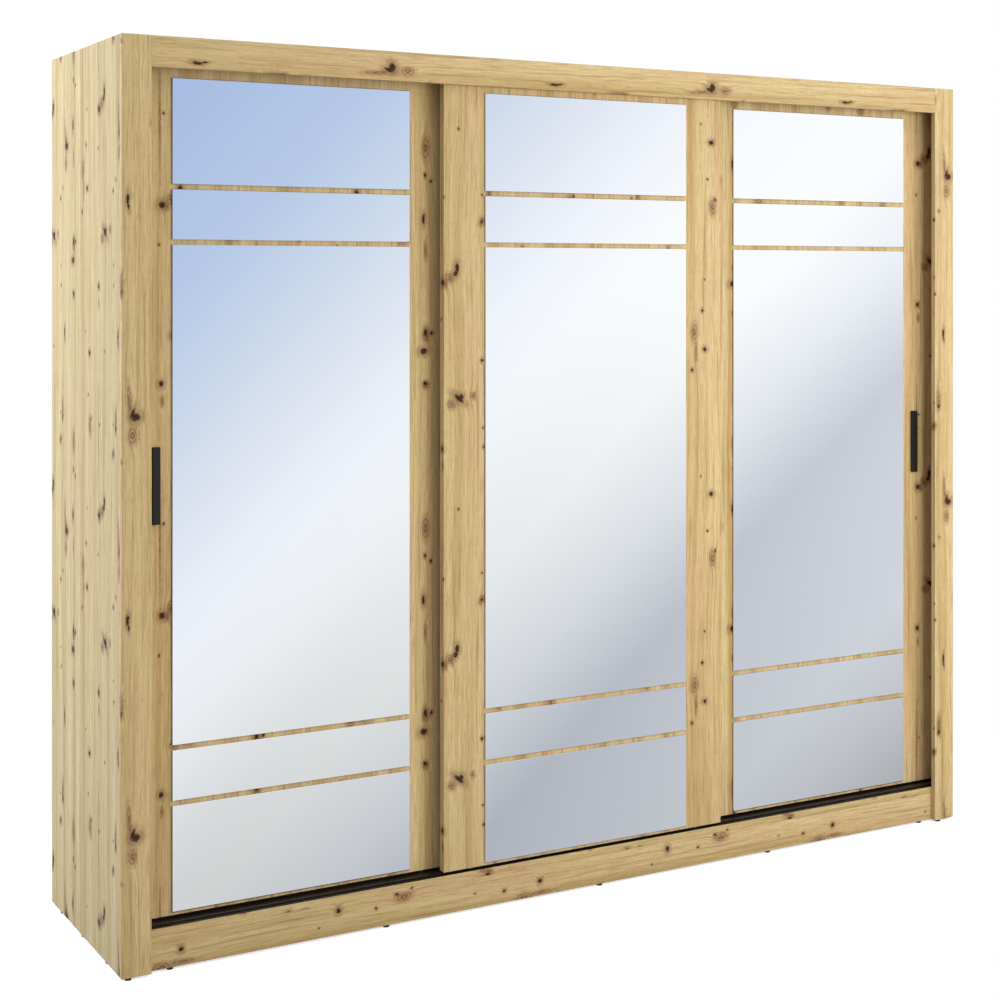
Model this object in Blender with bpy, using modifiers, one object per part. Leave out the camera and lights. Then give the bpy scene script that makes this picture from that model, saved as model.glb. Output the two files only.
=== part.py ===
"""Three-door sliding wardrobe with mirrored doors: carcass, tracks, doors, rollers and fittings.

Metres, +Z up, doors towards -Y. The origin is under the middle of the object, on the floor.
The carcass frame starts at the front of the pilasters and at the underside of the boards, so
below a y is a depth behind the front and a z is a height above the bottom edge of the boards.
"""

import math

import bmesh
import bpy

# Driving dimensions
carcass_width = 2.500
carcass_height = 2.150
carcass_depth = 0.600
board = 0.018
seam = 0.0003
edge_round = 0.0006

pilaster_width = 0.070
pilaster_thickness = 0.016
header_height = 0.072
plinth_height = 0.095
rear_plinth_inset = 0.060
back_thickness = 0.003
back_inset = 0.003

glide_height = 0.006
glide_radius = 0.008
glide_round = 0.0012
front_glide_depth = 0.0095
left_glide_inset = 0.0175
right_glide_inset = 0.053
rear_glide_distance = 0.080

door_thickness = 0.022
door_front_clearance = 0.002
passing_clearance = 0.0127
door_side_clearance = 0.004
door_overlap = 0.0425
door_bottom_clearance = 0.008
door_top_clearance = 0.032
door_round = 0.0008
interior_clearance = 0.014

stile_width = 0.1165
mirror_top_margin = 0.0385
mirror_bottom_margin = 0.0078
mirror_thickness = 0.004
mirror_chamfer = 0.0007
end_pane_height = 0.248
small_pane_height = 0.118
pane_spacing = 0.012

handle_width = 0.018
handle_length = 0.180
handle_projection = 0.011
handle_round = 0.0009
handle_edge_distance = 0.077
handle_centre_height = 1.110

track_base = 0.0018
rib_width = 0.003
rib_height = 0.0035
track_rear_clearance = 0.002
flange_thickness = 0.0015
guide_clearance = 0.003

fin_thickness = 0.006
fin_side_clearance = 0.0015
fin_foot_width = 0.014
fin_foot_thickness = 0.003
fin_end_inset = 0.030

wheel_tread_radius = 0.011
wheel_flange_height = 0.0015
wheel_width = 0.0064
wheel_flange_slope = 0.0005
wheel_rib_clearance = 0.0002
wheel_side_clearance = 0.0013
wheel_crown_clearance = 0.002
wheel_end_distance = 0.080
axle_radius = 0.002
axle_clearance = 0.00008
channel_wall = 0.0012
channel_recess = 0.0015
groove_end_distance = 0.012

shelf_setback = 0.020
hat_space_height = 0.332
rail_radius = 0.0125
rail_wall = 0.0012
rail_drop = 0.055

round_steps = 32
wheel_steps = 28

# Places that follow from them
half_width = carcass_width / 2
inner_half = half_width - board
inside_low = -inner_half + seam
inside_high = inner_half - seam
behind_pilaster = pilaster_thickness + seam
rear_edge = carcass_depth - back_inset - back_thickness - seam
ceiling = carcass_height - board

front_door_face = pilaster_thickness + door_front_clearance
door_pitch = door_thickness + seam + handle_projection + passing_clearance
rear_door_face = front_door_face + door_pitch
interior_front = rear_door_face + door_thickness + interior_clearance
door_bottom = plinth_height + door_bottom_clearance
door_top = ceiling - door_top_clearance
door_span = 2 * (inner_half - door_side_clearance)
door_width = (door_span + 2 * door_overlap) / 3
outer_door_centre = inner_half - door_side_clearance - door_width / 2
divider_centre = (door_width - door_overlap) / 2

rib_top = plinth_height + seam + track_base + rib_height
wheel_centre = rib_top + seam + wheel_tread_radius
wheel_radius = wheel_tread_radius + wheel_flange_height
wheel_offset = door_width / 2 - wheel_end_distance
channel_width = wheel_width + 2 * wheel_side_clearance + 2 * channel_wall
channel_bottom = door_bottom + channel_recess
channel_top = wheel_centre + wheel_radius + wheel_crown_clearance + channel_wall
channel_half_length = door_width / 2 - groove_end_distance - seam

flange_height = door_top_clearance - 2 * seam - fin_foot_thickness - guide_clearance
fin_height = door_top_clearance - 2 * seam - track_base - guide_clearance

hat_shelf_height = ceiling - hat_space_height
centre_space = (hat_shelf_height - plinth_height - 3 * board) / 3
lower_shelf_height = plinth_height + centre_space + board
middle_shelf_height = lower_shelf_height + centre_space + board

# One object per sub-part goes in this collection, and what only cuts them in the other
for old in list(bpy.data.objects):
    bpy.data.objects.remove(old, do_unlink=True)
parts = bpy.data.collections.new("sliding_wardrobe")
cutters = bpy.data.collections.new("cutters")
bpy.context.scene.collection.children.link(parts)
bpy.context.scene.collection.children.link(cutters)


def material(name, colour, roughness, metallic=0.0):
    made = bpy.data.materials.new(name)
    made.use_nodes = True
    shader = made.node_tree.nodes["Principled BSDF"]
    shader.inputs["Base Color"].default_value = (*colour, 1.0)
    shader.inputs["Roughness"].default_value = roughness
    shader.inputs["Metallic"].default_value = metallic
    return made


oak = material("artisan_oak", (0.56, 0.40, 0.21), 0.55)
mirror_glass = material("mirror", (0.86, 0.89, 0.92), 0.03, 1.0)
black_metal = material("handle_black", (0.018, 0.017, 0.017), 0.42, 0.6)
dark_track = material("track_brown", (0.050, 0.036, 0.026), 0.38, 0.8)
zinc_steel = material("zinc_steel", (0.55, 0.55, 0.56), 0.35, 1.0)
chrome = material("chrome", (0.72, 0.72, 0.73), 0.12, 1.0)
nylon = material("nylon", (0.62, 0.61, 0.58), 0.50)
glide_black = material("glide_black", (0.020, 0.020, 0.021), 0.50)
back_board = material("back_board", (0.50, 0.37, 0.21), 0.70)


def place(name, data, parent, location, finish=None):
    """Puts data in the scene under parent, as a sub-part when it has a finish and as a cutter when not."""
    made = bpy.data.objects.new(name, data)
    made.parent = parent
    made.location = location
    if finish is None:
        cutters.objects.link(made)
        made.hide_render = True
        made.display_type = "WIRE"
    else:
        parts.objects.link(made)
        data.materials.append(finish)
    return made


def frame_empty(name, parent, location):
    made = bpy.data.objects.new(name, None)
    made.parent = parent
    made.location = location
    parts.objects.link(made)
    return made


def box_mesh(name, size):
    """A box of this size, centred on its own origin."""
    shape = bmesh.new()
    bmesh.ops.create_cube(shape, size=1.0)
    bmesh.ops.scale(shape, vec=size, verts=shape.verts)
    mesh = bpy.data.meshes.new(name)
    shape.to_mesh(mesh)
    shape.free()
    return mesh


def box(name, parent, x, y, z, finish=None, rounding=0.0, segments=2):
    """A box between the given low and high x, y and z, in the parent's frame."""
    spans = (x, y, z)
    size = [high - low for low, high in spans]
    middle = [(high + low) / 2 for low, high in spans]
    made = place(name, box_mesh(name, size), parent, middle, finish)
    if rounding:
        bevel = made.modifiers.new("rounded_edges", "BEVEL")
        bevel.width = rounding
        bevel.segments = segments
    return made


def cylinder_mesh(name, radius, length, steps):
    """A cylinder about Z, centred on its own origin."""
    shape = bmesh.new()
    bmesh.ops.create_cone(
        shape, cap_ends=True, segments=steps, radius1=radius, radius2=radius, depth=length
    )
    mesh = bpy.data.meshes.new(name)
    shape.to_mesh(mesh)
    shape.free()
    mesh.shade_smooth()
    mesh.set_sharp_from_angle(angle=math.radians(40))
    return mesh


def turned(name, parent, location, profile, finish, steps):
    """A ring about the parent's Y axis. Its closed outline of (radius, distance along the axis) runs
    down its outer side."""
    shape = bmesh.new()
    corners = [shape.verts.new((radius, 0, along)) for radius, along in profile]
    for corner, following in zip(corners, corners[1:] + corners[:1]):
        shape.edges.new((corner, following))
    mesh = bpy.data.meshes.new(name)
    shape.to_mesh(mesh)
    shape.free()
    made = place(name, mesh, parent, location, finish)
    made.rotation_euler = (math.radians(90), 0, 0)
    screw = made.modifiers.new("turned", "SCREW")
    screw.steps = steps
    screw.render_steps = steps
    screw.use_merge_vertices = True
    screw.merge_threshold = 0.00001
    return made


def cut(target, cutter, operation="DIFFERENCE"):
    boolean = target.modifiers.new(cutter.name, "BOOLEAN")
    boolean.operation = operation
    boolean.object = cutter


def extrusion(name, parent, location, outline, length, finish):
    """A bar along X whose cross-section is a closed outline of (depth, height) points."""
    curve = bpy.data.curves.new(name, "CURVE")
    curve.dimensions = "2D"
    curve.fill_mode = "BOTH"
    curve.extrude = length / 2
    spline = curve.splines.new("POLY")
    spline.points.add(len(outline) - 1)
    for point, (depth, height) in zip(spline.points, outline):
        point.co = (depth, height, 0, 1)
    spline.use_cyclic_u = True
    made = place(name, curve, parent, location, finish)
    made.rotation_euler = (math.radians(90), 0, math.radians(90))
    return made


carcass = frame_empty("carcass_frame", None, (0, -carcass_depth / 2, glide_height))


def build_shell():
    for side, name in ((-1, "left"), (1, "right")):
        outer = side * half_width
        side_x = sorted((outer, outer - side * board))
        pilaster_x = sorted((outer, outer - side * pilaster_width))
        box(
            f"side_panel_{name}", carcass, side_x,
            (behind_pilaster, carcass_depth), (0, carcass_height), oak, edge_round,
        )
        box(
            f"pilaster_{name}", carcass, pilaster_x,
            (0, pilaster_thickness), (0, carcass_height), oak, edge_round,
        )
    header_half = half_width - pilaster_width - seam
    box(
        "header_board", carcass, (-header_half, header_half), (0, pilaster_thickness),
        (carcass_height - header_height, carcass_height), oak, edge_round,
    )
    inside = (inside_low, inside_high)
    box(
        "top_panel", carcass, inside, (behind_pilaster, rear_edge),
        (ceiling, carcass_height), oak, edge_round,
    )
    box(
        "bottom_panel", carcass, inside, (behind_pilaster, rear_edge),
        (plinth_height - board, plinth_height), oak, edge_round,
    )
    under_bottom = (0, plinth_height - board - seam)
    rear_plinth = rear_edge - rear_plinth_inset
    box(
        "plinth_front", carcass, inside, (behind_pilaster, behind_pilaster + board),
        under_bottom, oak, edge_round,
    )
    box(
        "plinth_rear", carcass, inside, (rear_plinth - board, rear_plinth),
        under_bottom, oak, edge_round,
    )


def build_interior():
    standing = (plinth_height + seam, ceiling - seam)
    for side, name in ((-1, "left"), (1, "right")):
        middle = side * divider_centre
        box(
            f"divider_{name}", carcass, (middle - board / 2, middle + board / 2),
            (interior_front, rear_edge), standing, oak, edge_round,
        )
    divider_face = divider_centre + board / 2 + seam
    bays = {
        "left": (inside_low, -divider_face),
        "centre": (-divider_centre + board / 2 + seam, divider_centre - board / 2 - seam),
        "right": (divider_face, inside_high),
    }
    shelves = {
        "shelf_left": ("left", hat_shelf_height),
        "shelf_right": ("right", hat_shelf_height),
        "shelf_centre_upper": ("centre", hat_shelf_height),
        "shelf_centre_middle": ("centre", middle_shelf_height),
        "shelf_centre_lower": ("centre", lower_shelf_height),
    }
    for name, (bay, top) in shelves.items():
        box(
            name, carcass, bays[bay], (interior_front + shelf_setback, rear_edge),
            (top - board, top), oak, edge_round,
        )
    rail_height = hat_shelf_height - board - rail_drop
    rail_depth = (interior_front + rear_edge) / 2
    for bay in ("left", "right"):
        low, high = bays[bay]
        half = (high - low) / 2
        rail = turned(
            f"hanging_rail_{bay}", carcass, ((low + high) / 2, rail_depth, rail_height),
            [
                (rail_radius - rail_wall, half), (rail_radius, half),
                (rail_radius, -half), (rail_radius - rail_wall, -half),
            ],
            chrome, round_steps,
        )
        rail.rotation_euler = (0, math.radians(90), 0)
    back = (carcass_depth - back_inset - back_thickness, carcass_depth - back_inset)
    back_z = (plinth_height - board, carcass_height)
    inner_edge = divider_centre - seam / 2
    outer_edge = divider_centre + seam / 2
    box("back_panel_left", carcass, (inside_low, -outer_edge), back, back_z, back_board)
    box("back_panel_centre", carcass, (-inner_edge, inner_edge), back, back_z, back_board)
    box("back_panel_right", carcass, (outer_edge, inside_high), back, back_z, back_board)


def build_glides():
    """Nail-on glides under the two pilasters and near the rear end of the two side panels."""
    side = half_width - board / 2
    places = {
        "glide_front_left": (left_glide_inset - half_width, front_glide_depth),
        "glide_front_right": (half_width - right_glide_inset, front_glide_depth),
        "glide_rear_left": (-side, carcass_depth - rear_glide_distance),
        "glide_rear_right": (side, carcass_depth - rear_glide_distance),
    }
    length = glide_height - seam
    for name, (x, y) in places.items():
        mesh = cylinder_mesh(name, glide_radius, length, round_steps)
        glide = place(name, mesh, carcass, (x, y, -seam - length / 2), glide_black)
        bevel = glide.modifiers.new("rounded_rim", "BEVEL")
        bevel.width = glide_round
        bevel.segments = 2
        bevel.limit_method = "ANGLE"


def door_lines():
    """The depths of the middle of the front and the rear doors' boards."""
    return front_door_face + door_thickness / 2, rear_door_face + door_thickness / 2


def build_tracks():
    length = inside_high - inside_low
    front = front_door_face - door_front_clearance / 2
    rear = interior_front - track_rear_clearance
    bottom = [(front, 0), (rear, 0), (rear, track_base)]
    for line in reversed(door_lines()):
        low, high = line - rib_width / 2, line + rib_width / 2
        rib = track_base + rib_height
        bottom += [(high, track_base), (high, rib), (low, rib), (low, track_base)]
    bottom.append((front, track_base))
    extrusion(
        "bottom_track", carcass, (0, 0, plinth_height + seam), bottom, length, dark_track
    )
    inner = fin_thickness / 2 + fin_side_clearance
    outer = inner + flange_thickness
    channel = [
        (-outer, 0), (-outer, -flange_height), (-inner, -flange_height), (-inner, -track_base),
        (inner, -track_base), (inner, -flange_height), (outer, -flange_height), (outer, 0),
    ]
    for name, line in zip(("front", "rear"), door_lines()):
        extrusion(
            f"top_track_{name}", carcass, (0, line, ceiling - seam), channel, length, dark_track
        )


def pane_spans():
    """Low and high edge of each mirror pane above the door's bottom, lowest first."""
    low = mirror_bottom_margin
    high = door_top - door_bottom - mirror_top_margin
    ends = [end_pane_height, small_pane_height]
    main = high - low - 2 * sum(ends) - 4 * pane_spacing
    spans = []
    for height in [*ends, main, *reversed(ends)]:
        spans.append((low, low + height))
        low += height + pane_spacing
    return spans


def build_door(name, centre, face, handle_side):
    """A door in a frame at the middle of its board's lower edge, which its slide moves along X."""
    line = face + door_thickness / 2
    door = frame_empty(f"slide_{name}", carcass, (centre, line, door_bottom))
    half, depth = door_width / 2, door_thickness / 2
    height = door_top - door_bottom
    door_board = box(
        f"door_{name}_board", door, (-half, half), (-depth, depth), (0, height), oak, door_round
    )
    groove_half = half - groove_end_distance
    groove_width = channel_width / 2 + seam
    groove = box(
        f"groove_{name}", door, (-groove_half, groove_half), (-groove_width, groove_width),
        (-board, channel_top + seam - door_bottom),
    )
    cut(door_board, groove)

    pane_back = -depth - seam
    pane_names = ("bottom", "lower", "main", "upper", "top")
    for pane, span in zip(pane_names, pane_spans()):
        box(
            f"mirror_{name}_{pane}", door, (-half + stile_width, half - stile_width),
            (pane_back - mirror_thickness, pane_back), span, mirror_glass, mirror_chamfer, 1,
        )

    if handle_side:
        middle = handle_side * (half - handle_edge_distance)
        low = handle_centre_height - handle_length / 2 - door_bottom
        box(
            f"handle_{name}", door, (middle - handle_width / 2, middle + handle_width / 2),
            (pane_back - handle_projection, pane_back), (low, low + handle_length),
            black_metal, handle_round,
        )

    build_rollers(name, door)
    fin_length = door_width - 2 * fin_end_inset
    foot, fin = fin_foot_width / 2, fin_thickness / 2
    outline = [
        (-foot, 0), (foot, 0), (foot, fin_foot_thickness), (fin, fin_foot_thickness),
        (fin, fin_height), (-fin, fin_height), (-fin, fin_foot_thickness), (-foot, fin_foot_thickness),
    ]
    extrusion(f"top_guide_{name}", door, (0, 0, height + seam), outline, fin_length, nylon)


def build_rollers(name, door):
    """The steel channel let into the door's lower edge, with its two axles, and the wheels on them."""
    low, high = channel_bottom - door_bottom, channel_top - door_bottom
    channel = box(
        f"roller_channel_{name}", door, (-channel_half_length, channel_half_length),
        (-channel_width / 2, channel_width / 2), (low, high), zinc_steel,
    )
    end = channel_half_length - channel_wall
    inside = channel_width / 2 - channel_wall
    hollow = box(
        f"channel_hollow_{name}", door, (-end, end), (-inside, inside), (-board, high - channel_wall)
    )
    cut(channel, hollow)
    tread, crown = wheel_tread_radius, wheel_radius
    half = wheel_width / 2
    groove = rib_width / 2 + wheel_rib_clearance
    bore = axle_radius + axle_clearance
    profile = [
        (bore, half), (crown, half), (crown, groove + wheel_flange_slope), (tread, groove),
        (tread, -groove), (crown, -groove - wheel_flange_slope), (crown, -half), (bore, -half),
    ]
    axle_length = channel_width - channel_wall
    for side, end_name in ((-1, "left"), (1, "right")):
        spot = (side * wheel_offset, 0, wheel_centre - door_bottom)
        axle_mesh = cylinder_mesh("axle", axle_radius, axle_length, wheel_steps)
        axle = place(f"axle_{name}_{end_name}", axle_mesh, door, spot)
        axle.rotation_euler = (math.radians(90), 0, 0)
        cut(channel, axle, "UNION")
        turned(f"wheel_{name}_{end_name}", door, spot, profile, nylon, wheel_steps)


build_shell()
build_interior()
build_glides()
build_tracks()
build_door("left", -outer_door_centre, rear_door_face, -1)
build_door("centre", 0.0, front_door_face, 0)
build_door("right", outer_door_centre, rear_door_face, 1)
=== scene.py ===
import math

import bmesh
import bpy
from mathutils import Matrix, Vector


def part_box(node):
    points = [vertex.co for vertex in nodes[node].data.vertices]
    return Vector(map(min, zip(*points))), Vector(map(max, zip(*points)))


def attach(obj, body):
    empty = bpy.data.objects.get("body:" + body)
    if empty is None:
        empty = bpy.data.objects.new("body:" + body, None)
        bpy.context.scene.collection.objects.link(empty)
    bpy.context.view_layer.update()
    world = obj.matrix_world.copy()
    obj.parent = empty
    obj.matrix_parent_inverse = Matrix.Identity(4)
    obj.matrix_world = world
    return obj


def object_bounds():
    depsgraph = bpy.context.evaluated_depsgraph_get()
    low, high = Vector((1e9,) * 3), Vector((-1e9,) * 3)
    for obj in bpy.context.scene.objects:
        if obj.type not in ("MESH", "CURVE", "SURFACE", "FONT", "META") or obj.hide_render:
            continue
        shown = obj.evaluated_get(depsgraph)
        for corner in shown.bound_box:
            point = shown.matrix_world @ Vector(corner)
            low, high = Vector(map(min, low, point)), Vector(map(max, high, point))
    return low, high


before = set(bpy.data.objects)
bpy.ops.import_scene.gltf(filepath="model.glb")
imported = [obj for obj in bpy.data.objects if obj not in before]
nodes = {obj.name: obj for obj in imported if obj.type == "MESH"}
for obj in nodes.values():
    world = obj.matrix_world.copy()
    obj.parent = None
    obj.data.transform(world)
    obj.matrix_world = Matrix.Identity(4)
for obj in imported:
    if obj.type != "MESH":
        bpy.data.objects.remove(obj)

cadLow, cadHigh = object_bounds()
boxes = {nodeName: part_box(nodeName) for nodeName in nodes}
scene = bpy.context.scene
print("frame loaded:", len(nodes), "nodes")


# small helpers for node trees and places

def paint(hexColour):  # "D9C394" as a linear colour
    channels = [int(hexColour[i:i + 2], 16) / 255 for i in (0, 2, 4)]
    return (*(c / 12.92 if c <= 0.04045 else ((c + 0.055) / 1.055) ** 2.4 for c in channels), 1.0)


def middle(nodeName, axis):  # half way through a piece along x, y or z
    low, high = boxes[nodeName]
    return (getattr(low, axis) + getattr(high, axis)) / 2


def addNode(tree, kind, **settings):
    node = tree.nodes.new(kind)
    for key, value in settings.items():
        setattr(node, key, value)
    return node


def feed(tree, socket, value):  # a link when value is a socket, otherwise a plain value
    if isinstance(value, bpy.types.NodeSocket):
        tree.links.new(value, socket)
    else:
        socket.default_value = value


def doMath(tree, operation, first, second=None, third=None):
    node = addNode(tree, "ShaderNodeMath", operation=operation)
    for socket, value in zip(node.inputs, (first, second, third)):
        if value is not None:
            feed(tree, socket, value)
    return node.outputs[0]


def doVector(tree, operation, first, second=None, scale=None):
    node = addNode(tree, "ShaderNodeVectorMath", operation=operation)
    feed(tree, node.inputs[0], first)
    if second is not None:
        feed(tree, node.inputs[1], second)
    if scale is not None:
        feed(tree, node.inputs["Scale"], scale)
    return node.outputs["Value" if operation in ("LENGTH", "DOT_PRODUCT") else "Vector"]


def fade(tree, value, low, high, outLow=0.0, outHigh=1.0):  # smooth step from low to high
    node = addNode(tree, "ShaderNodeMapRange", interpolation_type="SMOOTHSTEP")
    feed(tree, node.inputs["Value"], value)
    limits = {"From Min": low, "From Max": high, "To Min": outLow, "To Max": outHigh}
    for name, number in limits.items():
        node.inputs[name].default_value = number
    return node.outputs["Result"]


def noise(tree, vector, scale, detail, rough):
    node = addNode(tree, "ShaderNodeTexNoise")
    feed(tree, node.inputs["Vector"], vector)
    node.inputs["Scale"].default_value = scale
    node.inputs["Detail"].default_value = detail
    node.inputs["Roughness"].default_value = rough
    return node


def blend(tree, factor, first, second, mode="MIX"):
    node = addNode(tree, "ShaderNodeMix", data_type="RGBA", blend_type=mode)
    feed(tree, node.inputs["Factor"], factor)
    feed(tree, node.inputs[6], first)
    feed(tree, node.inputs[7], second)
    return node.outputs[2]


def ramp(tree, value, stops):
    node = addNode(tree, "ShaderNodeValToRGB")
    feed(tree, node.inputs[0], value)
    elements = node.color_ramp.elements
    while len(elements) < len(stops):
        elements.new(0.5)
    for element, (place, colour) in zip(elements, stops):
        element.position = place
        element.color = paint(colour)
    return node.outputs["Color"]


def newMaterial(name):
    made = bpy.data.materials.new(name)
    made.use_nodes = True
    tree = made.node_tree
    return made, tree, tree.nodes["Principled BSDF"]


def objectVector(tree):
    return addNode(tree, "ShaderNodeTexCoord").outputs["Object"]


def bumpFrom(tree, height, distance, strength):
    node = addNode(tree, "ShaderNodeBump")
    feed(tree, node.inputs["Height"], height)
    node.inputs["Distance"].default_value = distance
    node.inputs["Strength"].default_value = strength
    return node.outputs["Normal"]


# the oak decor: one printed sheet, repeated across and along the grain on every board

oakDecor = {
    "repeatAcross": 0.450,
    "repeatAlong": 0.958,
    "wobble": 0.0105,      # how far a mark's outline wanders
    "markSize": 1.15,
    "pullAside": 0.012,    # how far the grain swings round a knot
    "slowBend": 0.035,     # how far the grain drifts along a board
    "pale": "E5CE9B",
    "olive": "BBA168",
    "blush": "D9B58A",
    "streak": "9A7846",
    "halo": "7E5238",
    "pore": "8D6B41",
    "heart": "1A0C06",
    "heartLight": "5E3620",
    "gloss": 0.22,
    "relief": 0.00025,
    "reliefStrength": 0.5,
}

# tones across the sheet, from one repeat to the next
sheetTones = [
    (0.00, "E0C794"), (0.05, "DEC592"), (0.08, "C7A871"), (0.13, "C4A46D"), (0.17, "DCC18E"),
    (0.23, "DDC18F"), (0.25, "C2A06C"), (0.30, "C7A874"), (0.35, "D3B781"), (0.42, "DCC38D"),
    (0.48, "DCBB88"), (0.54, "CDAD77"), (0.60, "D3B884"), (0.66, "D6BD88"), (0.74, "C9AC76"),
    (0.80, "D7BD8A"), (0.85, "DEC795"), (0.90, "CDB07B"), (0.95, "D2B681"), (1.00, "DFC693"),
]

# dark knots and cracks: place across and along the sheet, half width, half length, lean in degrees
knots = [
    (0.294, 0.665, 0.0048, 0.0085, 0), (0.290, 0.651, 0.0050, 0.0070, 20),
    (0.250, 0.628, 0.0060, 0.0068, 0), (0.027, 0.605, 0.0034, 0.0100, 0),
    (0.032, 0.716, 0.0028, 0.0038, 0), (0.048, 0.701, 0.0028, 0.0034, 0),
    (0.033, 0.320, 0.0038, 0.0085, 0), (0.050, 0.319, 0.0030, 0.0040, 0),
    (0.028, 0.273, 0.0085, 0.0065, -10), (0.033, 0.192, 0.0048, 0.0040, 30),
    (0.421, 0.557, 0.0085, 0.0075, -20), (0.414, 0.566, 0.0035, 0.0100, 20),
    (0.402, 0.096, 0.0030, 0.0100, 4), (0.404, 0.080, 0.0018, 0.0080, -6),
    (0.299, 0.336, 0.0050, 0.0135, -50), (0.306, 0.340, 0.0048, 0.0060, 0),
    (0.248, 0.210, 0.0048, 0.0055, 0), (0.172, 0.050, 0.0060, 0.0048, 0),
    (0.151, 0.445, 0.0050, 0.0046, 20), (0.143, 0.550, 0.0030, 0.0036, 0),
    (0.109, 0.390, 0.0030, 0.0036, 0), (0.185, 0.852, 0.0026, 0.0036, 0),
    (0.298, 0.057, 0.0020, 0.0024, 0), (0.365, 0.430, 0.0030, 0.0034, 0),
    (0.370, 0.212, 0.0022, 0.0028, 30), (0.384, 0.840, 0.0032, 0.0055, 0),
    (0.364, 0.783, 0.0020, 0.0038, 20), (0.367, 0.260, 0.0016, 0.0020, 0),
    (0.365, 0.850, 0.0018, 0.0022, 0), (0.254, 0.842, 0.0020, 0.0024, 0),
    (0.243, 0.535, 0.0016, 0.0026, 0), (0.160, 0.908, 0.0022, 0.0026, 0),
    (0.150, 0.635, 0.0016, 0.0020, 0), (0.138, 0.100, 0.0016, 0.0020, 0),
]

# reddish stains and whorls beside them, written in the same way
stains = [
    (0.117, 0.492, 0.0110, 0.0230, 0), (0.122, 0.440, 0.0050, 0.0300, 0),
    (0.176, 0.832, 0.0110, 0.0210, -8), (0.034, 0.785, 0.0115, 0.0260, 0),
    (0.413, 0.515, 0.0100, 0.0190, 0), (0.406, 0.590, 0.0055, 0.0420, -4),
    (0.278, 0.322, 0.0110, 0.0120, -40), (0.338, 0.342, 0.0065, 0.0100, 0),
    (0.272, 0.640, 0.0100, 0.0140, -30), (0.262, 0.626, 0.0065, 0.0110, 0),
    (0.036, 0.311, 0.0110, 0.0150, 0), (0.034, 0.186, 0.0085, 0.0090, 0),
    (0.250, 0.170, 0.0045, 0.0120, 0), (0.384, 0.862, 0.0070, 0.0260, 0),
    (0.365, 0.781, 0.0090, 0.0120, 20), (0.385, 0.455, 0.0060, 0.0050, 50),
    (0.033, 0.525, 0.0045, 0.0200, 0), (0.245, 0.820, 0.0022, 0.1200, 0),
]


def nearestMark(tree, vector, marks):  # 0 in the middle of the nearest mark, 1 on its outline
    nearest = None
    size = oakDecor["markSize"]
    for across, along, halfWidth, halfLength, lean in marks:
        place = addNode(tree, "ShaderNodeMapping", vector_type="TEXTURE")
        feed(tree, place.inputs["Vector"], vector)
        place.inputs["Location"].default_value = (across, along, 0)
        place.inputs["Rotation"].default_value = (0, 0, math.radians(-lean))
        place.inputs["Scale"].default_value = (halfWidth * size, halfLength * size, 1)
        distance = doVector(tree, "LENGTH", place.outputs[0])
        nearest = distance if nearest is None else doMath(tree, "MINIMUM", nearest, distance)
    return nearest


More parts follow.
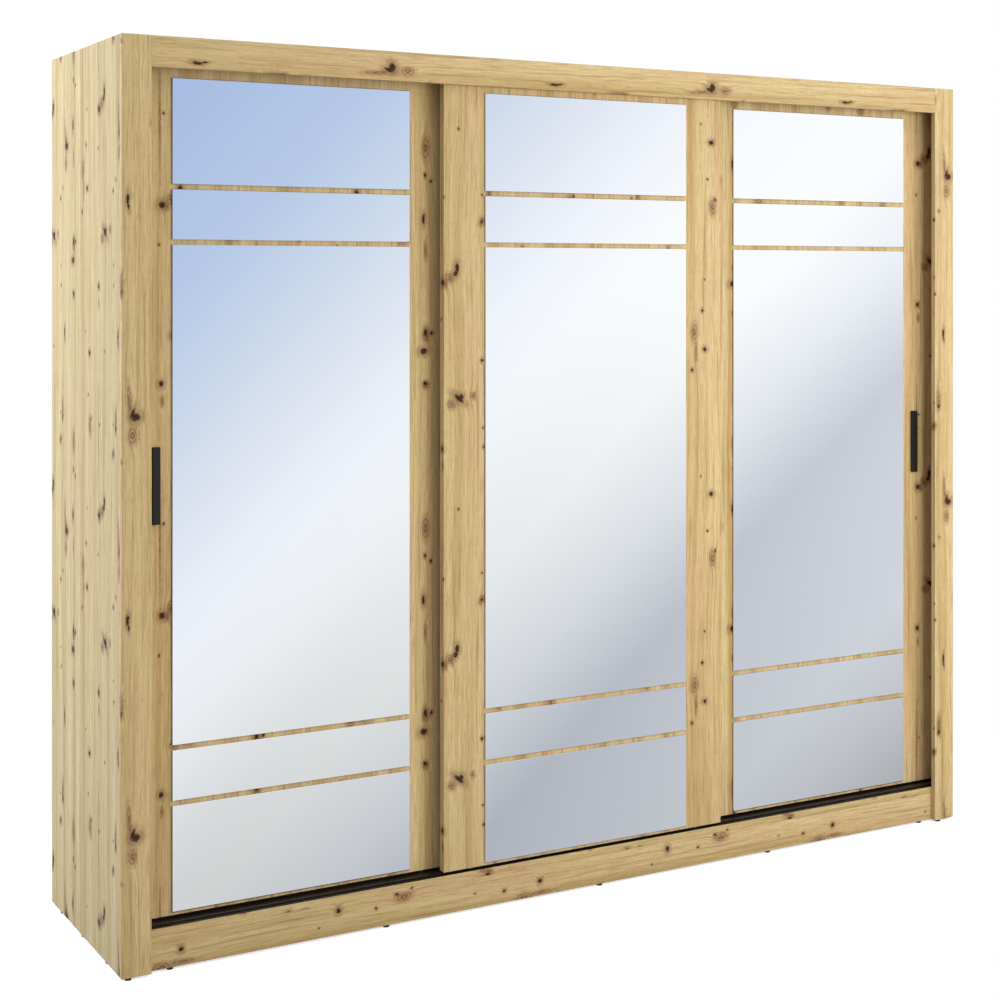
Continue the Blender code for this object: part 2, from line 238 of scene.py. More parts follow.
def buildDecor():
    tree = bpy.data.node_groups.new("artisanOakDecor", "ShaderNodeTree")
    tree.interface.new_socket("Vector", in_out="INPUT", socket_type="NodeSocketVector")
    for name, kind in (("Color", "Color"), ("Roughness", "Float"), ("Height", "Float")):
        tree.interface.new_socket(name, in_out="OUTPUT", socket_type="NodeSocket" + kind)
    start = addNode(tree, "NodeGroupInput").outputs["Vector"]
    end = addNode(tree, "NodeGroupOutput")

    # place on the sheet; the third direction joins the first so that edges carry grain too
    parts = addNode(tree, "ShaderNodeSeparateXYZ")
    feed(tree, parts.inputs[0], start)
    across = doMath(tree, "ADD", parts.outputs[0], parts.outputs[2])
    along = parts.outputs[1]
    onSheet = addNode(tree, "ShaderNodeCombineXYZ")
    feed(tree, onSheet.inputs[0], doMath(tree, "WRAP", across, oakDecor["repeatAcross"], 0.0))
    feed(tree, onSheet.inputs[1], doMath(tree, "WRAP", along, oakDecor["repeatAlong"], 0.0))

    wander = noise(tree, start, 170, 4, 0.70).outputs["Color"]
    wander = doVector(tree, "SUBTRACT", wander, (0.5, 0.5, 0.5))
    wander = doVector(tree, "SCALE", wander, scale=oakDecor["wobble"])
    marked = doVector(tree, "ADD", onSheet.outputs[0], wander)
    knot = nearestMark(tree, marked, knots)
    stain = nearestMark(tree, marked, stains)

    def bell(distance, steepness):  # 1 in the middle, falling away to nothing
        square = doMath(tree, "MULTIPLY", distance, distance)
        return doMath(tree, "EXPONENT", doMath(tree, "MULTIPLY", square, -steepness))

    # the grain swings round knots and stains
    nearKnot = bell(knot, 0.22)
    nearStain = bell(stain, 0.50)
    swing = doMath(tree, "MAXIMUM", nearKnot, nearStain)
    slowBend = noise(tree, doVector(tree, "MULTIPLY", start, (3.0, 1.1, 3.0)), 1.0, 1, 0.5).outputs[0]
    flow = doMath(tree, "MULTIPLY_ADD", swing, oakDecor["pullAside"], across)
    flow = doMath(tree, "MULTIPLY_ADD", slowBend, oakDecor["slowBend"], flow)

    def grainNoise(perAcross, perAlong, detail, rough):
        point = addNode(tree, "ShaderNodeCombineXYZ")
        feed(tree, point.inputs[0], doMath(tree, "MULTIPLY", flow, perAcross))
        feed(tree, point.inputs[1], doMath(tree, "MULTIPLY", along, perAlong))
        return noise(tree, point.outputs[0], 1.0, detail, rough).outputs[0]

    planks = grainNoise(34, 0.5, 2, 0.5)
    streaks = grainNoise(120, 2.2, 4, 0.6)
    fibres = grainNoise(620, 14, 3, 0.65)
    pores = grainNoise(1250, 42, 1, 0.5)
    tint = grainNoise(15, 1.6, 1, 0.5)

    # tones across the sheet, then streaks, fibres and pores
    placeAcross = doMath(tree, "WRAP", doMath(tree, "DIVIDE", flow, oakDecor["repeatAcross"]), 1.0, 0.0)
    sheetTone = ramp(tree, placeAcross, sheetTones)
    colour = blend(tree, fade(tree, planks, 0.40, 0.62, 0.0, 0.55), sheetTone, paint(oakDecor["pale"]))
    colour = blend(tree, fade(tree, planks, 0.50, 0.30, 0.0, 0.50), colour, paint(oakDecor["olive"]))
    colour = blend(tree, fade(tree, tint, 0.46, 0.66, 0.0, 0.55), colour, paint(oakDecor["blush"]))
    colour = blend(tree, fade(tree, streaks, 0.50, 0.27, 0.0, 0.74), colour, paint(oakDecor["streak"]))
    colour = blend(tree, fade(tree, streaks, 0.52, 0.74, 0.0, 0.55), colour, paint(oakDecor["pale"]))
    colour = blend(tree, fade(tree, fibres, 0.58, 0.32, 0.0, 0.50), colour, paint(oakDecor["streak"]))
    openPores = fade(tree, pores, 0.60, 0.72)
    colour = blend(tree, doMath(tree, "MULTIPLY", openPores, 0.40), colour, paint(oakDecor["pore"]))

    # stains with rings of their own, then halos and dark hearts of the knots
    ringWave = doMath(tree, "MULTIPLY_ADD", stain, 13.0, doMath(tree, "MULTIPLY", streaks, 9.0))
    rings = doMath(tree, "SINE", ringWave)
    stainMask = fade(tree, stain, 1.70, 0.20, 0.0, 0.95)
    stainMask = doMath(tree, "MULTIPLY", stainMask, fade(tree, rings, -1.0, 0.7, 0.50, 1.0))
    colour = blend(tree, stainMask, colour, paint(oakDecor["halo"]))
    around = fade(tree, knot, 3.4, 0.9, 0.0, 0.62)
    eddyWave = doMath(tree, "MULTIPLY_ADD", knot, 7.0, doMath(tree, "MULTIPLY", streaks, 14.0))
    eddies = doMath(tree, "SINE", eddyWave)
    around = doMath(tree, "MULTIPLY", around, fade(tree, eddies, -0.9, 0.9, 0.72, 1.0))
    colour = blend(tree, around, colour, paint(oakDecor["halo"]))
    heart = fade(tree, knot, 1.35, 0.65)
    crumbs = fade(tree, noise(tree, marked, 420, 2, 0.7).outputs[0], 0.50, 0.68)
    heartColour = blend(tree, crumbs, paint(oakDecor["heart"]), paint(oakDecor["heartLight"]))
    colour = blend(tree, doMath(tree, "MULTIPLY", heart, 0.94), colour, heartColour)
    feed(tree, end.inputs["Color"], colour)

    # the face is rougher along the fibres, and the dark hearts of knots and cracks are a little rougher
    # still
    rough = doMath(tree, "MULTIPLY_ADD", fibres, 0.14, 0.44)
    feed(tree, end.inputs["Roughness"], doMath(tree, "MULTIPLY_ADD", heart, 0.15, rough))
    # the relief keeps to plain straight grain, so that it stays quick to work out
    relief = noise(tree, doVector(tree, "MULTIPLY", start, (640, 15, 640)), 1.0, 2, 0.65).outputs[0]
    feed(tree, end.inputs["Height"], relief)
    return tree


decorTree = buildDecor()

# which way a board is cut from the sheet: rows give across, along and through in the room's axes
boardWays = {
    "front": ((1, 0, 0), (0, 0, 1), (0, -1, 0)),
    "side": ((0, -1, 0), (0, 0, 1), (-1, 0, 0)),
    "rail": ((0, 0, 1), (-1, 0, 0), (0, -1, 0)),
    "flat": ((0, 1, 0), (-1, 0, 0), (0, 0, 1)),
}


def oakMaterial(name, way, across, along, through):
    made, tree, shader = newMaterial(name)
    mapping = addNode(tree, "ShaderNodeMapping")
    feed(tree, mapping.inputs["Vector"], objectVector(tree))
    mapping.inputs["Rotation"].default_value = Matrix(boardWays[way]).to_euler("XYZ")
    mapping.inputs["Location"].default_value = (across, along, through)
    decor = addNode(tree, "ShaderNodeGroup", node_tree=decorTree)
    feed(tree, decor.inputs[0], mapping.outputs[0])
    feed(tree, shader.inputs["Base Color"], decor.outputs["Color"])
    feed(tree, shader.inputs["Roughness"], decor.outputs["Roughness"])
    normal = bumpFrom(tree, decor.outputs["Height"], oakDecor["relief"], oakDecor["reliefStrength"])
    feed(tree, shader.inputs["Normal"], normal)
    shader.inputs["Specular IOR Level"].default_value = oakDecor["gloss"]
    return made


def dress(nodeName, made):
    target = nodes[nodeName]
    target.data.materials.clear()
    target.data.materials.append(made)


frontFace = boxes["pilaster_left"][0].y
rearDoorFace = boxes["door_left_board"][0].y
middleDoorFace = boxes["door_centre_board"][0].y
plinthFace = boxes["plinth_front"][0].y
leftFace, rightFace = cadLow.x, cadHigh.x

# how each board is cut: its way, then where the room's origin lies across, along and through the sheet
boardCuts = {
    "side_panel_left": ("side", 0.130, -1.370, leftFace),
    "side_panel_right": ("side", 0.265, -0.930, rightFace),
    "pilaster_left": ("front", 1.188, -0.725, frontFace),
    "pilaster_right": ("front", -1.260, -1.340, frontFace),
    "header_board": ("rail", -2.146, -0.975, frontFace),
    "plinth_front": ("rail", 0.107, -0.660, plinthFace),
    "plinth_rear": ("rail", 0.310, -0.240, plinthFace),
    "bottom_panel": ("flat", 0.4517, -0.629, 0.0),
    "top_panel": ("flat", 0.090, -0.350, 0.0),
    "divider_left": ("side", 0.020, -1.150, 0.0),
    "divider_right": ("side", 0.210, -0.700, 0.0),
    "shelf_left": ("flat", 0.300, -0.100, 0.0),
    "shelf_right": ("flat", 0.150, -0.520, 0.0),
    "shelf_centre_upper": ("flat", 0.020, -0.840, 0.0),
    "shelf_centre_middle": ("flat", 0.390, -0.300, 0.0),
    "shelf_centre_lower": ("flat", 0.230, -0.660, 0.0),
    "door_left_board": ("front", 0.485, -1.142, rearDoorFace),
    "door_centre_board": ("front", 0.680, -0.960, middleDoorFace),
    "door_right_board": ("front", -0.020, -1.310, rearDoorFace),
}
for nodeName, cut in boardCuts.items():
    dress(nodeName, oakMaterial("artisanOak_" + nodeName, *cut))
print("oak decor on", len(boardCuts), "boards")


# mirror panes: silvered face, ground glass edge

mirrorPane = {
    "silver": "FDFEFE",
    "edge": "6A6852",
    "edgeLight": "8C8A74",
    "edgeRoughness": 0.28,
    "smudge": 0.012,       # most that a wiped patch roughens the silver
}


def mirrorMaterial():
    made, tree, shader = newMaterial("silveredMirror")
    normal = addNode(tree, "ShaderNodeTexCoord").outputs["Normal"]
    parts = addNode(tree, "ShaderNodeSeparateXYZ")
    feed(tree, parts.inputs[0], normal)
    face = fade(tree, doMath(tree, "ABSOLUTE", parts.outputs[1]), 0.45, 0.60)
    grind = noise(tree, objectVector(tree), 900, 2, 0.6).outputs[0]
    grind = fade(tree, grind, 0.35, 0.65)
    edge = blend(tree, grind, paint(mirrorPane["edge"]), paint(mirrorPane["edgeLight"]))
    feed(tree, shader.inputs["Base Color"], blend(tree, face, edge, paint(mirrorPane["silver"])))
    feed(tree, shader.inputs["Metallic"], face)
    haze = noise(tree, objectVector(tree), 7, 3, 0.55).outputs[0]
    smudges = fade(tree, haze, 0.55, 0.80, 0.0, mirrorPane["smudge"])
    ground = fade(tree, face, 1.0, 0.0, 0.0, mirrorPane["edgeRoughness"])
    feed(tree, shader.inputs["Roughness"], doMath(tree, "ADD", smudges, ground))
    return made


mirrorFinish = mirrorMaterial()
for nodeName in nodes:
    if nodeName.startswith("mirror_"):
        dress(nodeName, mirrorFinish)
print("mirrors done")


# metals and plastics: two close tones, a fine speck and a little relief

def coatedMaterial(name, dark, light, roughness, metallic, grainSize, bump, stretch=(1, 1, 1)):
    made, tree, shader = newMaterial(name)
    mapping = addNode(tree, "ShaderNodeMapping")
    feed(tree, mapping.inputs["Vector"], objectVector(tree))
    mapping.inputs["Scale"].default_value = stretch
    speck = noise(tree, mapping.outputs[0], grainSize, 2, 0.6).outputs[0]
    cloud = noise(tree, mapping.outputs[0], grainSize / 40, 3, 0.5).outputs[0]
    mixed = doMath(tree, "MULTIPLY_ADD", cloud, 0.5, doMath(tree, "MULTIPLY", speck, 0.5))
    tone = blend(tree, fade(tree, mixed, 0.36, 0.64), paint(dark), paint(light))
    feed(tree, shader.inputs["Base Color"], tone)
    feed(tree, shader.inputs["Roughness"], doMath(tree, "MULTIPLY_ADD", mixed, 0.16, roughness - 0.08))
    shader.inputs["Metallic"].default_value = metallic
    feed(tree, shader.inputs["Normal"], bumpFrom(tree, speck, bump, 0.6))
    return made


finishes = {
    "handle": coatedMaterial("powderBlack", "0C0A0A", "151212", 0.50, 0.0, 3200, 0.00003),
    "track": coatedMaterial("bronzeTrack", "2B231D", "3E342B", 0.38, 0.75, 1500, 0.00001, (0.02, 1, 1)),
    "steel": coatedMaterial("zincSteel", "A9ABAD", "C6C8CA", 0.34, 1.0, 500, 0.00001),
    "chrome": coatedMaterial("railChrome", "D4D6D8", "E2E4E6", 0.12, 1.0, 900, 0.000004, (0.05, 1, 1)),
    "nylon": coatedMaterial("whiteNylon", "D0CEC8", "D8D6D0", 0.48, 0.0, 1800, 0.00001),
    "glide": coatedMaterial("blackPlastic", "161617", "222223", 0.50, 0.0, 2400, 0.00002),
}
nodeFinish = {  # start of a piece's name, and its finish
    "handle": "handle", "bottom_track": "track", "top_track": "track", "roller_channel": "steel",
    "hanging_rail": "chrome", "wheel": "nylon", "top_guide": "nylon", "glide": "glide",
}
for nodeName in nodes:
    for start, finish in nodeFinish.items():
        if nodeName.startswith(start):
            dress(nodeName, finishes[finish])


backBoard = {"dark": "B99664", "light": "D3B787", "fuzz": "9B7B4E"}


def backMaterial():  # thin fibreboard with a printed oak face
    made, tree, shader = newMaterial("printedBack")
    where = objectVector(tree)
    lines = noise(tree, doVector(tree, "MULTIPLY", where, (55, 1, 2.0)), 1.0, 4, 0.6).outputs[0]
    fuzz = noise(tree, doVector(tree, "MULTIPLY", where, (900, 1, 60)), 1.0, 2, 0.6).outputs[0]
    colour = blend(tree, fade(tree, lines, 0.30, 0.70), paint(backBoard["dark"]), paint(backBoard["light"]))
    colour = blend(tree, fade(tree, fuzz, 0.62, 0.40, 0.0, 0.30), colour, paint(backBoard["fuzz"]))
    feed(tree, shader.inputs["Base Color"], colour)
    feed(tree, shader.inputs["Roughness"], doMath(tree, "MULTIPLY_ADD", fuzz, 0.15, 0.58))
    feed(tree, shader.inputs["Normal"], bumpFrom(tree, fuzz, 0.0001, 0.4))
    return made


backFinish = backMaterial()
for nodeName in nodes:
    if nodeName.startswith("back_panel"):
        dress(nodeName, backFinish)
print("fittings and back finished")


# fittings that repeat: one geometry group per kind, one piece per body

facets = {"turned": 28, "ballRound": 24, "ballUp": 12, "ring": 48}
screwHead = {"slotLength": 1.15, "slotWidth": 0.24}  # as shares of the head's radius


def geometryGroup(name, inputs):
    group = bpy.data.node_groups.new(name, "GeometryNodeTree")
    group.interface.new_socket("Geometry", in_out="INPUT", socket_type="NodeSocketGeometry")
    for label, kind in (*inputs, ("Turn", "Vector"), ("Finish", "Material")):
        group.interface.new_socket(label, in_out="INPUT", socket_type="NodeSocket" + kind)
    group.interface.new_socket("Geometry", in_out="OUTPUT", socket_type="NodeSocketGeometry")
    return group, addNode(group, "NodeGroupInput").outputs, addNode(group, "NodeGroupOutput")


def lift(group, mesh, height):
    place = addNode(group, "ShaderNodeCombineXYZ")
    feed(group, place.inputs[2], height)
    node = addNode(group, "GeometryNodeTransform")
    feed(group, node.inputs["Geometry"], mesh)
    feed(group, node.inputs["Translation"], place.outputs[0])
    return node.outputs[0]


def cylinder(group, radius, depth):  # a disc standing on the point
    node = addNode(group, "GeometryNodeMeshCylinder")
    node.inputs["Vertices"].default_value = facets["turned"]
    feed(group, node.inputs["Radius"], radius)
    feed(group, node.inputs["Depth"], depth)
    return lift(group, node.outputs["Mesh"], doMath(group, "MULTIPLY", depth, 0.5))


def block(group, sizeX, sizeY, sizeZ, height):  # its middle at that height over the point
    size = addNode(group, "ShaderNodeCombineXYZ")
    for socket, value in zip(size.inputs, (sizeX, sizeY, sizeZ)):
        feed(group, socket, value)
    node = addNode(group, "GeometryNodeMeshCube")
    feed(group, node.inputs["Size"], size.outputs[0])
    return lift(group, node.outputs["Mesh"], height)


def stampOnPoints(group, start, end, parts):  # joins the parts and stands one on every point
    join = addNode(group, "GeometryNodeJoinGeometry")
    for part in parts:
        group.links.new(part, join.inputs[0])
    turn = addNode(group, "FunctionNodeEulerToRotation")
    feed(group, turn.inputs[0], start["Turn"])
    spread = addNode(group, "GeometryNodeInstanceOnPoints")
    feed(group, spread.inputs["Points"], start["Geometry"])
    feed(group, spread.inputs["Instance"], join.outputs[0])
    feed(group, spread.inputs["Rotation"], turn.outputs[0])
    real = addNode(group, "GeometryNodeRealizeInstances")
    feed(group, real.inputs[0], spread.outputs[0])
    paintNode = addNode(group, "GeometryNodeSetMaterial")
    feed(group, paintNode.inputs["Geometry"], real.outputs[0])
    feed(group, paintNode.inputs["Material"], start["Finish"])
    feed(group, end.inputs[0], paintNode.outputs[0])
    return group


def buildTurned():  # a chamfered stem on a wider rim: glides, pins, caps and buffers
    group, start, end = geometryGroup("turnedFitting", (
        ("Radius", "Float"), ("Height", "Float"), ("Rim", "Float"), ("Rim height", "Float"),
        ("Chamfer", "Float")))
    straight = doMath(group, "SUBTRACT", start["Height"], start["Chamfer"])
    stem = cylinder(group, start["Radius"], straight)
    rim = cylinder(group, start["Rim"], start["Rim height"])
    nose = addNode(group, "GeometryNodeMeshCone")
    nose.inputs["Vertices"].default_value = facets["turned"]
    feed(group, nose.inputs["Radius Bottom"], start["Radius"])
    feed(group, nose.inputs["Radius Top"], doMath(group, "SUBTRACT", start["Radius"], start["Chamfer"]))
    feed(group, nose.inputs["Depth"], start["Chamfer"])
    return stampOnPoints(group, start, end, (stem, rim, lift(group, nose.outputs["Mesh"], straight)))


def buildScrew():  # a low domed head with a cross recess
    group, start, end = geometryGroup("crossHeadScrew", (("Radius", "Float"), ("Height", "Float")))
    radius, height = start["Radius"], start["Height"]
    ball = addNode(group, "GeometryNodeMeshUVSphere")
    ball.inputs["Segments"].default_value = facets["ballRound"]
    ball.inputs["Rings"].default_value = facets["ballUp"]
    ball.inputs["Radius"].default_value = 1.0
    scale = addNode(group, "ShaderNodeCombineXYZ")
    for socket, value in zip(scale.inputs, (radius, radius, height)):
        feed(group, socket, value)
    dome = addNode(group, "GeometryNodeTransform")
    feed(group, dome.inputs["Geometry"], ball.outputs["Mesh"])
    feed(group, dome.inputs["Scale"], scale.outputs[0])
    slotLength = doMath(group, "MULTIPLY", radius, screwHead["slotLength"])
    slotWidth = doMath(group, "MULTIPLY", radius, screwHead["slotWidth"])
    wide = doMath(group, "MULTIPLY", radius, 3.0)
    under = doMath(group, "MULTIPLY", height, 2.2)
    cut = addNode(group, "GeometryNodeMeshBoolean", operation="DIFFERENCE")
    feed(group, cut.inputs["Mesh 1"], dome.outputs[0])
    cutters = (
        block(group, slotLength, slotWidth, height, height),
        block(group, slotWidth, slotLength, height, height),
        block(group, wide, wide, under, doMath(group, "MULTIPLY", under, -0.5)),  # the ball's lower half
    )
    for cutter in cutters:
        group.links.new(cutter, cut.inputs["Mesh 2"])
    return stampOnPoints(group, start, end, (cut.outputs["Mesh"],))


def buildCollar():  # a squared ring: rail sockets
    group, start, end = geometryGroup("ringCollar", (
        ("Radius", "Float"), ("Wall", "Float"), ("Depth", "Float")))
    path = addNode(group, "GeometryNodeCurvePrimitiveCircle")
    path.inputs["Resolution"].default_value = facets["ring"]
    feed(group, path.inputs["Radius"], start["Radius"])
    profile = addNode(group, "GeometryNodeCurvePrimitiveQuadrilateral")
    feed(group, profile.inputs["Width"], start["Wall"])
    feed(group, profile.inputs["Height"], start["Depth"])
    sweep = addNode(group, "GeometryNodeCurveToMesh")
    feed(group, sweep.inputs["Curve"], path.outputs[0])
    feed(group, sweep.inputs["Profile Curve"], profile.outputs[0])
    return stampOnPoints(group, start, end, (sweep.outputs[0],))


def buildStrip():  # a flat strip with a raised rib, standing along Y before it is turned
    group, start, end = geometryGroup("ribbedStrip", (
        ("Width", "Float"), ("Length", "Float"), ("Thickness", "Float"), ("Rib", "Float")))
    base = block(group, start["Width"], start["Length"], start["Thickness"],
                 doMath(group, "MULTIPLY", start["Thickness"], 0.5))
    ribDepth = doMath(group, "MULTIPLY", start["Thickness"], 2.0)
    rib = block(group, start["Rib"], start["Length"], ribDepth, doMath(group, "MULTIPLY", ribDepth, 0.5))
    return stampOnPoints(group, start, end, (base, rib))


groups = {"turned": buildTurned(), "screw": buildScrew(), "collar": buildCollar(), "strip": buildStrip()}
turns = {
    "up": (0, 0, 0), "down": (math.pi, 0, 0), "rear": (-math.pi / 2, 0, 0),
    "right": (0, math.pi / 2, 0), "left": (0, -math.pi / 2, 0),
}


def fit(name, kind, places, facing, sizes, finish, body="carcass"):  # one piece, many fittings
    mesh = bpy.data.meshes.new(name)
    mesh.from_pydata([tuple(place) for place in places], [], [])
    piece = bpy.data.objects.new(name, mesh)
    scene.collection.objects.link(piece)
    modifier = piece.modifiers.new("fittings", "NODES")
    modifier.node_group = groups[kind]
    values = {**sizes, "Turn": turns[facing], "Finish": finish}
    for item in groups[kind].interface.items_tree:
        if item.in_out == "INPUT" and item.name in values:
            modifier[item.identifier] = values[item.name]
    piece.update_tag()
    bpy.context.view_layer.update()
    evaluated = piece.evaluated_get(bpy.context.evaluated_depsgraph_get())
    made = bpy.data.meshes.new_from_object(evaluated)
    piece.modifiers.clear()
    shape = bmesh.new()
    shape.from_mesh(made)
    if shape.calc_volume(signed=True) < 0:
        bmesh.ops.reverse_faces(shape, faces=shape.faces)
    shape.to_mesh(made)
    shape.free()
    made.name = name
    piece.data = made
    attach(piece, body)


sideInner = boxes["side_panel_right"][0].x
centreSides = (boxes["divider_left"][1].x, boxes["divider_right"][0].x)
shelfSides = {  # inner faces of the boards that a shelf spans
    "shelf_left": (-sideInner, boxes["divider_left"][0].x),
    "shelf_right": (boxes["divider_right"][1].x, sideInner),
    "shelf_centre_upper": centreSides,
    "shelf_centre_middle": centreSides,
    "shelf_centre_lower": centreSides,
}

glides = {
    "alongPlinth": (-1.129, -0.579, 0.038, 0.587, 1.1375),
    "underSides": (-0.17, 0.03),
    "sizes": {"Radius": 0.0080, "Height": 0.0056, "Rim": 0.0088, "Rim height": 0.0012, "Chamfer": 0.0008},
}
boardBottom = boxes["plinth_front"][0].z
glidePlaces = []
for row in ("plinth_front", "plinth_rear"):
    glidePlaces += [(x, middle(row, "y"), boardBottom) for x in glides["alongPlinth"]]
for panel in ("side_panel_left", "side_panel_right"):
    glidePlaces += [(middle(panel, "x"), y, boardBottom) for y in glides["underSides"]]
fit("glidesUnderBoards", "turned", glidePlaces, "down", glides["sizes"], finishes["glide"])

pins = {
    "fromFront": 0.055,
    "fromRear": 0.060,
    "underShelf": 0.0039,
    "sizes": {"Radius": 0.0025, "Height": 0.0090, "Rim": 0.0038, "Rim height": 0.0010, "Chamfer": 0.0004},
}
pinsRight, pinsLeft = [], []
for shelf, (leftX, rightX) in shelfSides.items():
    low, high = boxes[shelf]
    for y in (low.y + pins["fromFront"], high.y - pins["fromRear"]):
        pinsRight.append((leftX, y, low.z - pins["underShelf"]))
        pinsLeft.append((rightX, y, low.z - pins["underShelf"]))
fit("shelfPinsFacingRight", "turned", pinsRight, "right", pins["sizes"], finishes["steel"])
fit("shelfPinsFacingLeft", "turned", pinsLeft, "left", pins["sizes"], finishes["steel"])

sockets = {"fromEnd": 0.0058, "sizes": {"Radius": 0.0158, "Wall": 0.0058, "Depth": 0.0110}}
railPlaces = []
for rail in ("hanging_rail_left", "hanging_rail_right"):
    low, high = boxes[rail]
    for x in (low.x + sockets["fromEnd"], high.x - sockets["fromEnd"]):
        railPlaces.append((x, middle(rail, "y"), middle(rail, "z")))
fit("railSockets", "collar", railPlaces, "right", sockets["sizes"], finishes["chrome"])

trackScrews = {
    "count": 7,
    "fromEnd": 0.08,
    "web": 0.0018,         # thickness of the tracks' base
    "bottom": {"Radius": 0.0036, "Height": 0.0011},
    "top": {"Radius": 0.0030, "Height": 0.0010},
}
trackLow, trackHigh = boxes["bottom_track"]
screwStep = (trackHigh.x - trackLow.x - 2 * trackScrews["fromEnd"]) / (trackScrews["count"] - 1)
screwXs = [trackLow.x + trackScrews["fromEnd"] + i * screwStep for i in range(trackScrews["count"])]
betweenDoors = (middleDoorFace + boxes["door_left_board"][1].y) / 2
lowScrews = [(x, betweenDoors, trackLow.z + trackScrews["web"]) for x in screwXs]
fit("bottomTrackScrews", "screw", lowScrews, "up", trackScrews["bottom"], finishes["track"])
highScrews = []
for track in ("top_track_front", "top_track_rear"):
    webFace = boxes[track][1].z - trackScrews["web"]
    highScrews += [(x, middle(track, "y"), webFace) for x in screwXs]
fit("topTrackScrews", "screw", highScrews, "down", trackScrews["top"], finishes["steel"])

buffers = {
    "heights": (0.30, 1.116, 1.93),
    "sizes": {"Radius": 0.0045, "Height": 0.0026, "Rim": 0.0055, "Rim height": 0.0008, "Chamfer": 0.0009},
}
for facing, side in (("right", -1), ("left", 1)):
    places = [(side * sideInner, middle("door_left_board", "y"), z) for z in buffers["heights"]]
    name = "doorBuffersFacing" + facing.title()
    fit(name, "turned", places, facing, buffers["sizes"], finishes["glide"])

backFixing = {
    "step": 0.16,          # about how far apart the nails are
    "fromEnd": 0.03,
    "clearOfJoint": 0.016,
    "stripShorter": 0.004,
    "nail": {"Radius": 0.0034, "Height": 0.0007},
    "strip": {"Width": 0.018, "Thickness": 0.0009, "Rib": 0.006},
}
backLow, backHigh = boxes["back_panel_centre"]
backFace = backHigh.y
backJoint = (backHigh.x + boxes["back_panel_right"][0].x) / 2
nailPlaces = []
for board in ("top_panel", "bottom_panel", *shelfSides):
    low, high = boxes[board]
    nailed = high.x - low.x - 2 * backFixing["fromEnd"]
    steps = max(2, round(nailed / backFixing["step"]))
    for i in range(steps + 1):
        x = low.x + backFixing["fromEnd"] + i * nailed / steps
        if abs(abs(x) - backJoint) > backFixing["clearOfJoint"]:
            nailPlaces.append((x, backFace, middle(board, "z")))
fit("backNails", "screw", nailPlaces, "rear", backFixing["nail"], finishes["steel"])
stripSizes = {**backFixing["strip"], "Length": backHigh.z - backLow.z - backFixing["stripShorter"]}
stripPlaces = [(x, backFace, middle("back_panel_centre", "z")) for x in (-backJoint, backJoint)]
fit("backJoinStrips", "strip", stripPlaces, "rear", stripSizes, finishes["nylon"])

camCaps = {
    "fromEnd": 0.034,
    "fromRear": (0.41, 0.08),
    "sizes": {"Radius": 0.0070, "Height": 0.0011, "Rim": 0.0078, "Rim height": 0.0006, "Chamfer": 0.0004},
}
capPlaces = []
for shelf in ("shelf_left", "shelf_right", "shelf_centre_upper", "bottom_panel"):
    low, high = boxes[shelf]
    for x in (low.x + camCaps["fromEnd"], high.x - camCaps["fromEnd"]):
        for inset in camCaps["fromRear"]:
            capPlaces.append((x, high.y - inset, high.z))
fit("camCaps", "turned", capPlaces, "up", camCaps["sizes"], backFinish)

doorScrews = {
    "besideWheel": 0.026,
    "fromBottom": 0.047,
    "fromTop": 0.020,
    "fromHandleEnd": 0.026,
    "sizes": {"Radius": 0.0036, "Height": 0.0012},
}
for side in ("left", "centre", "right"):
    low, high = boxes["door_" + side + "_board"]
    places = []
    for wheel in ("wheel_" + side + "_left", "wheel_" + side + "_right"):
        for aside in (-doorScrews["besideWheel"], doorScrews["besideWheel"]):
            x = middle(wheel, "x") + aside
            places.append((x, high.y, low.z + doorScrews["fromBottom"]))
            places.append((x, high.y, high.z - doorScrews["fromTop"]))
    handle = "handle_" + side
    if handle in boxes:
        handleLow, handleHigh = boxes[handle]
        for z in (handleLow.z + doorScrews["fromHandleEnd"], handleHigh.z - doorScrews["fromHandleEnd"]):
            places.append((middle(handle, "x"), high.y, z))
    name = "doorScrews_" + side
    fit(name, "screw", places, "rear", doorScrews["sizes"], finishes["steel"], "door_" + side)
print("fittings placed")


# studio: floor, world, lights and camera

paleFloor = {
    "margin": 1.3,         # how far the floor goes on round the wardrobe
    "fade": 0.9,           # and where it has melted into the backdrop
    "drop": 0.0005,        # just under the glides
    "seen": (0.90, 0.90, 0.90, 1),
    "bounce": (0.14, 0.13, 0.12, 1),   # what it throws back on the boards
    "glow": 0.62,
    "roughness": 0.9,
}


